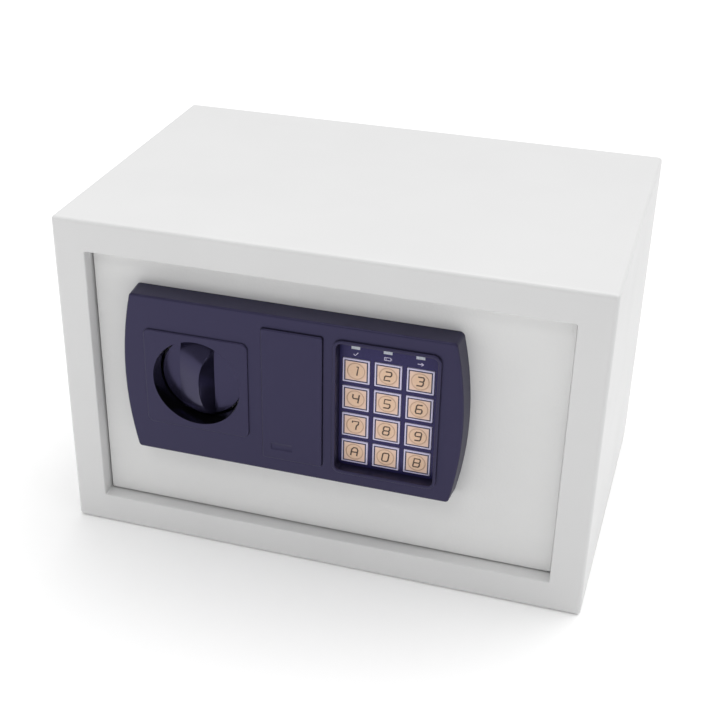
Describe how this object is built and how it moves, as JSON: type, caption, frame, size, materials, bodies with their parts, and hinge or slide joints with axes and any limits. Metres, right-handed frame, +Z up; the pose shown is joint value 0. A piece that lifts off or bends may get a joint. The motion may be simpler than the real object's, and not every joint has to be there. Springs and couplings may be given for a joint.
{
  "type": "in-room safe",
  "caption": "Small steel room safe with a recessed door, keypad lock panel, turning knob, covered key lock and sliding bolts.",
  "frame": {"origin": "centre of the footprint on the shelf it stands on", "axes": "+X to the right seen from the front, +Y from the door into the safe, +Z up"},
  "size_m": [0.31, 0.206, 0.2],
  "materials": {
    "powder_coat": "fine orange-peel powder coat, satin",
    "door_coat": "textured powder coat, satin",
    "inner_coat": "thin powder coat, satin",
    "felt": "pressed felt",
    "zinc_steel": "zinc plated",
    "chrome_part": "polished plating",
    "spring_steel": "drawn wire",
    "brass_part": "turned",
    "panel_plastic": "finely grained navy moulding",
    "knob_plastic": "glossy navy moulding",
    "overlay_film": "printed polyester film",
    "key_face": "printed key face",
    "lamp_window": "translucent lens",
    "black_plastic": "moulded",
    "red_plastic": "moulded",
    "cell_wrap": "shrink sleeve",
    "circuit_board": "solder mask",
    "coil_wire": "enamelled winding under tape",
    "cable_skin": "flexible sheath"
  },
  "bodies": {
    "cabinet": {"body_shell": "powder_coat", "front_frame": "powder_coat", "back_panel": "powder_coat", "hinge_bracket_top": "powder_coat", "hinge_bracket_bottom": "powder_coat", "hinge_washer": "zinc_steel", "floor_mat": "felt"},
    "door": {"door_plate": "door_coat", "hinge_leaves": "door_coat", "hinge_pins": "zinc_steel", "door_box": "inner_coat", "inner_cover": "inner_coat", "cover_screws": "zinc_steel", "lock_panel": "panel_plastic", "panel_screws": "zinc_steel", "keypad_overlay": "overlay_film", "indicator_windows": "lamp_window", "keypad_board": "circuit_board", "knob_bush": "brass_part", "guide_posts": "zinc_steel", "solenoid_frame": "zinc_steel", "solenoid_coil": "coil_wire", "plunger_spring": "spring_steel", "lock_cylinder": "chrome_part", "cylinder_nut": "zinc_steel", "battery_box": "black_plastic", "battery_contacts": "spring_steel", "batteries": "cell_wrap", "control_board": "circuit_board", "board_standoffs": "brass_part", "keypad_cable": "cable_skin", "battery_lead": "cable_skin", "solenoid_lead": "cable_skin", "reset_switch": "black_plastic"},
    "knob_assembly": {"knob": "knob_plastic", "knob_shaft": "zinc_steel", "crank_arm": "zinc_steel", "crank_screw": "zinc_steel"},
    "bolt_carriage": {"bolt_plate": "zinc_steel", "locking_bolts": "chrome_part", "bolt_rivets": "zinc_steel"},
    "solenoid_plunger": {"plunger": "zinc_steel"},
    "key_core": {"key_plug": "chrome_part", "lock_cam": "zinc_steel"},
    "cover_plate": {"emergency_cover": "panel_plastic"},
    "battery_hatch": {"battery_lid": "black_plastic"},
    "reset_cap": {"reset_button": "red_plastic"},
    "key_1": {"key_1_cap": "key_face"},
    "key_2": {"key_2_cap": "key_face"},
    "key_3": {"key_3_cap": "key_face"},
    "key_4": {"key_4_cap": "key_face"},
    "key_5": {"key_5_cap": "key_face"},
    "key_6": {"key_6_cap": "key_face"},
    "key_7": {"key_7_cap": "key_face"},
    "key_8": {"key_8_cap": "key_face"},
    "key_9": {"key_9_cap": "key_face"},
    "key_a": {"key_a_cap": "key_face"},
    "key_0": {"key_0_cap": "key_face"},
    "key_b": {"key_b_cap": "key_face"}
  },
  "joints": [
    {"name": "door_swing", "type": "hinge", "parent": "cabinet", "child": "door", "pos_m": [0.122, -0.082, 0.1], "axis": [0, 0, 1], "range_deg": [0, 105]},
    {"name": "knob_turn", "type": "hinge", "parent": "door", "child": "knob_assembly", "pos_m": [-0.07, -0.09, 0.1122], "axis": [0, -1, 0], "range_deg": [0, 80]},
    {"name": "bolt_slide", "type": "slide", "parent": "door", "child": "bolt_carriage", "axis": [-1, 0, 0], "range_m": [0, 0.01501]},
    {"name": "plunger_slide", "type": "slide", "parent": "door", "child": "solenoid_plunger", "axis": [0, 0, -1], "range_m": [0, 0.00801], "deforming": ["plunger_spring"]},
    {"name": "emergency_key_turn", "type": "hinge", "parent": "door", "child": "key_core", "pos_m": [-0.0134, -0.095, 0.1265], "axis": [0, -1, 0], "range_deg": [-90, 0]},
    {"name": "emergency_cover_pull", "type": "slide", "parent": "door", "child": "cover_plate", "axis": [0, -1, 0], "range_m": [0, 0.025]},
    {"name": "battery_lid_pull", "type": "slide", "parent": "door", "child": "battery_hatch", "axis": [0, 1, 0], "range_m": [0, 0.02]},
    {"name": "reset_press", "type": "slide", "parent": "door", "child": "reset_cap", "axis": [0, -1, 0], "range_m": [0, 0.001], "stiffness_N_per_m": 600},
    {"name": "key_1_press", "type": "slide", "parent": "door", "child": "key_1", "axis": [0, 1, 0], "range_m": [0, 0.0005], "stiffness_N_per_m": 1200},
    {"name": "key_2_press", "type": "slide", "parent": "door", "child": "key_2", "axis": [0, 1, 0], "range_m": [0, 0.0005], "stiffness_N_per_m": 1200},
    {"name": "key_3_press", "type": "slide", "parent": "door", "child": "key_3", "axis": [0, 1, 0], "range_m": [0, 0.0005], "stiffness_N_per_m": 1200},
    {"name": "key_4_press", "type": "slide", "parent": "door", "child": "key_4", "axis": [0, 1, 0], "range_m": [0, 0.0005], "stiffness_N_per_m": 1200},
    {"name": "key_5_press", "type": "slide", "parent": "door", "child": "key_5", "axis": [0, 1, 0], "range_m": [0, 0.0005], "stiffness_N_per_m": 1200},
    {"name": "key_6_press", "type": "slide", "parent": "door", "child": "key_6", "axis": [0, 1, 0], "range_m": [0, 0.0005], "stiffness_N_per_m": 1200},
    {"name": "key_7_press", "type": "slide", "parent": "door", "child": "key_7", "axis": [0, 1, 0], "range_m": [0, 0.0005], "stiffness_N_per_m": 1200},
    {"name": "key_8_press", "type": "slide", "parent": "door", "child": "key_8", "axis": [0, 1, 0], "range_m": [0, 0.0005], "stiffness_N_per_m": 1200},
    {"name": "key_9_press", "type": "slide", "parent": "door", "child": "key_9", "axis": [0, 1, 0], "range_m": [0, 0.0005], "stiffness_N_per_m": 1200},
    {"name": "key_a_press", "type": "slide", "parent": "door", "child": "key_a", "axis": [0, 1, 0], "range_m": [0, 0.0005], "stiffness_N_per_m": 1200},
    {"name": "key_0_press", "type": "slide", "parent": "door", "child": "key_0", "axis": [0, 1, 0], "range_m": [0, 0.0005], "stiffness_N_per_m": 1200},
    {"name": "key_b_press", "type": "slide", "parent": "door", "child": "key_b", "axis": [0, 1, 0], "range_m": [0, 0.0005], "stiffness_N_per_m": 1200}
  ],
  "couplings": [
    {"joint": "bolt_slide", "follows": "knob_turn", "m_per_rad": 0.010743},
    {"joint": "plunger_slide", "follows": "knob_turn", "m_per_rad": 0.0057296}
  ]
}
